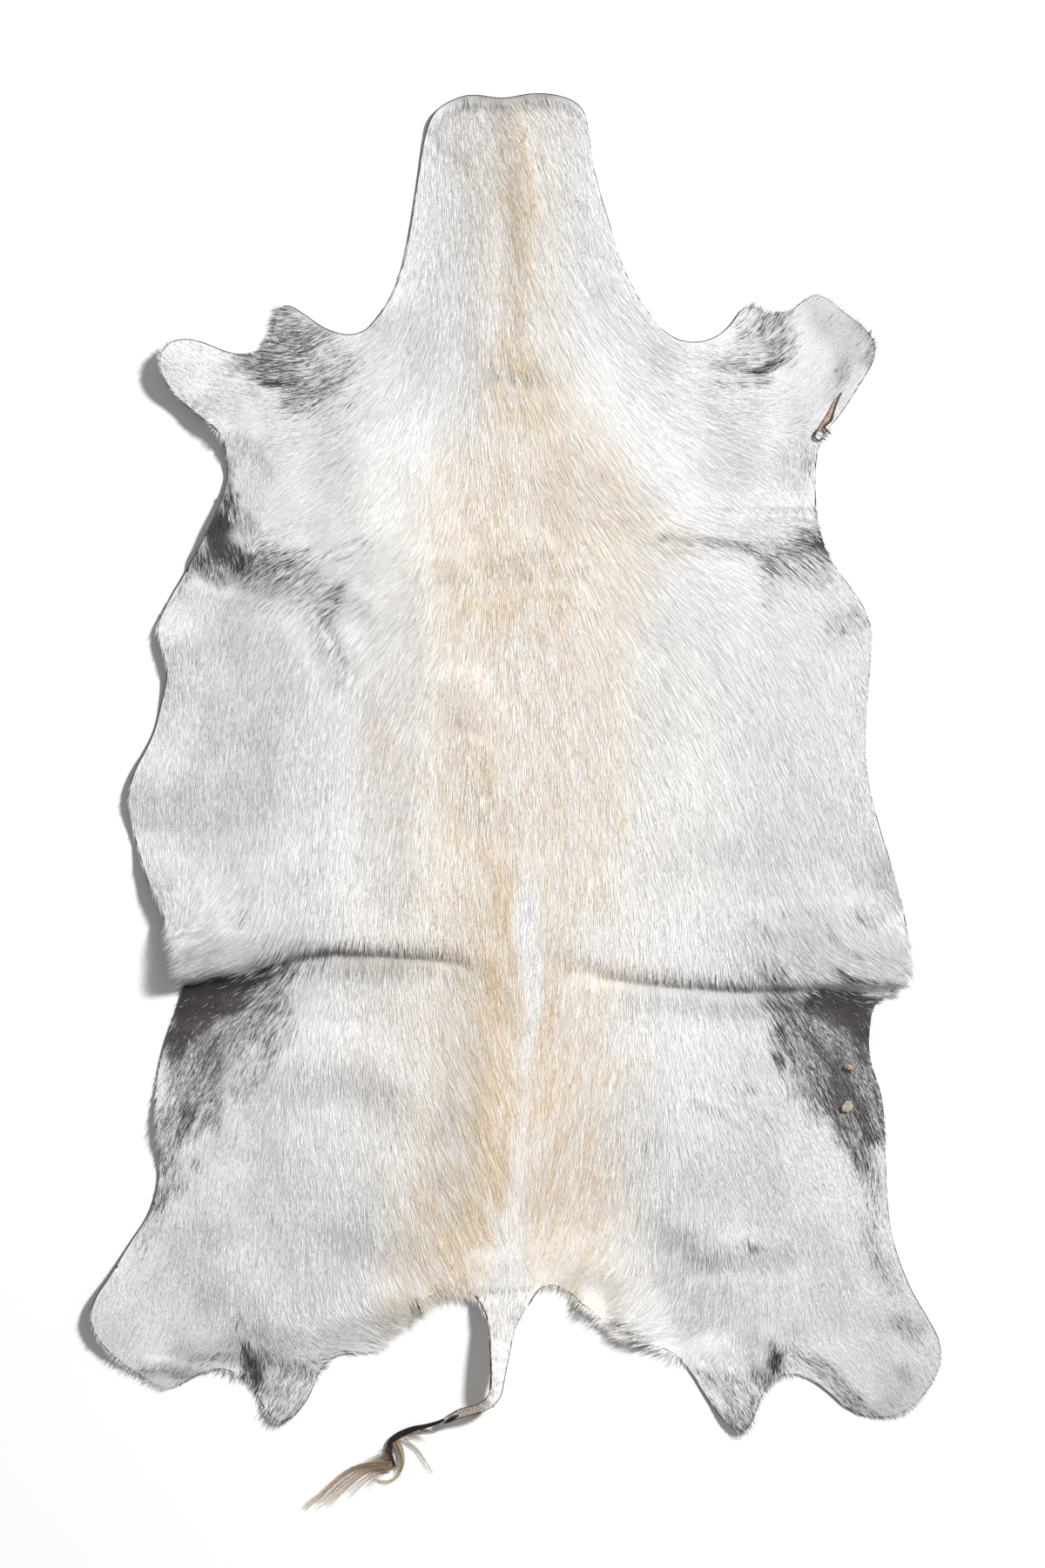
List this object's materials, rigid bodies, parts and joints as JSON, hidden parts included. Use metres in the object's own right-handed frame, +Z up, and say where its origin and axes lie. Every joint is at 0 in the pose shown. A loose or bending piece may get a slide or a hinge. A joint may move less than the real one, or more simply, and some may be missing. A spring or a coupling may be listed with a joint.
{
  "type": "springbok hide",
  "caption": "Tanned springbok hide in one piece, laid flat with its hair side up: neck, leg skins, flank folds, and a tail with a brush of long hair.",
  "frame": {"origin": "on the floor under the middle of the hide's outer box, tail brush included", "axes": "+X to the right as one looks down on the hair, +Y along the back towards the neck, +Z up out of the hair"},
  "size_m": [0.6994, 1.1601, 0.0235],
  "materials": {
    "hide": "hair-on hide, short smooth matt coat, white-grey with a cream back and dark groin and armpits",
    "tail_brush": "black-brown skin with long light brown hair"
  },
  "bodies": {
    "root": {"hide": "hide", "tail_brush": "tail_brush"}
  },
  "joints": []
}
